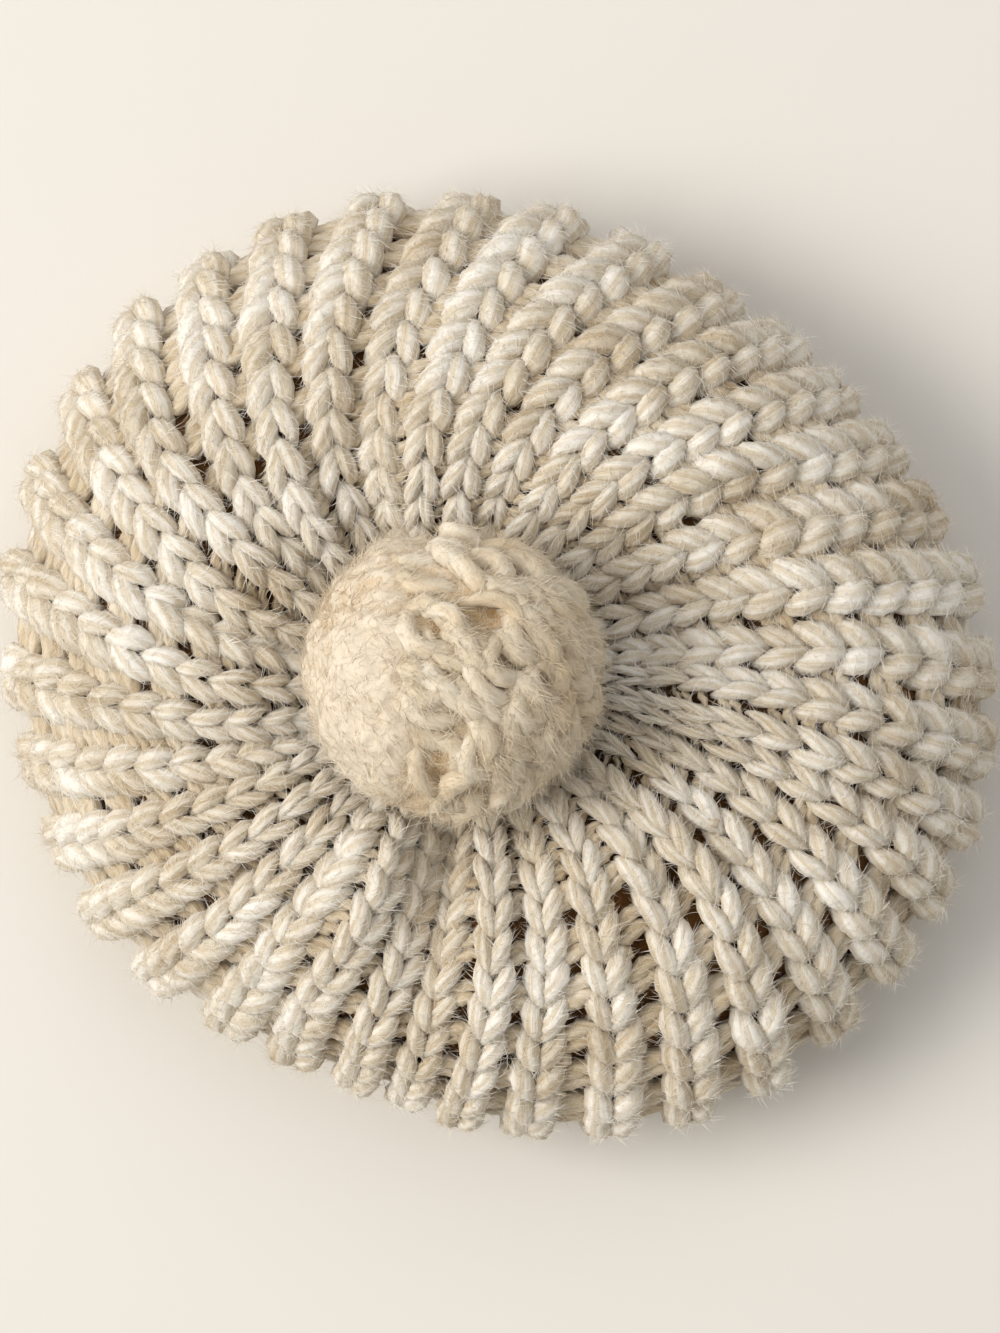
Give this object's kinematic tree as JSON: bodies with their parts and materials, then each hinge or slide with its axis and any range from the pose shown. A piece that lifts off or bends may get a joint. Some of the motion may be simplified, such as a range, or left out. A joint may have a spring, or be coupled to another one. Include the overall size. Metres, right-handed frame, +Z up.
{
  "type": "knitted beret with pompom",
  "caption": "Slouchy ribbed beret in chunky undyed wool, its ribs drawn together under a yarn pompom, lying on its ribbed head band.",
  "frame": {"origin": "under the middle of the beret's outline, on the plane that the head band lies on", "axes": "+Z up, out of the top of the beret; +X along its longest side; +Y completes the frame"},
  "size_m": [0.2638, 0.2507, 0.1175],
  "materials": {
    "undyed_wool": "soft, hairy wool, matt",
    "pompom_wool": "fluffy wool, matt"
  },
  "bodies": {
    "root": {"crown": "undyed_wool", "head_band": "undyed_wool", "pompom": "pompom_wool"}
  },
  "joints": []
}
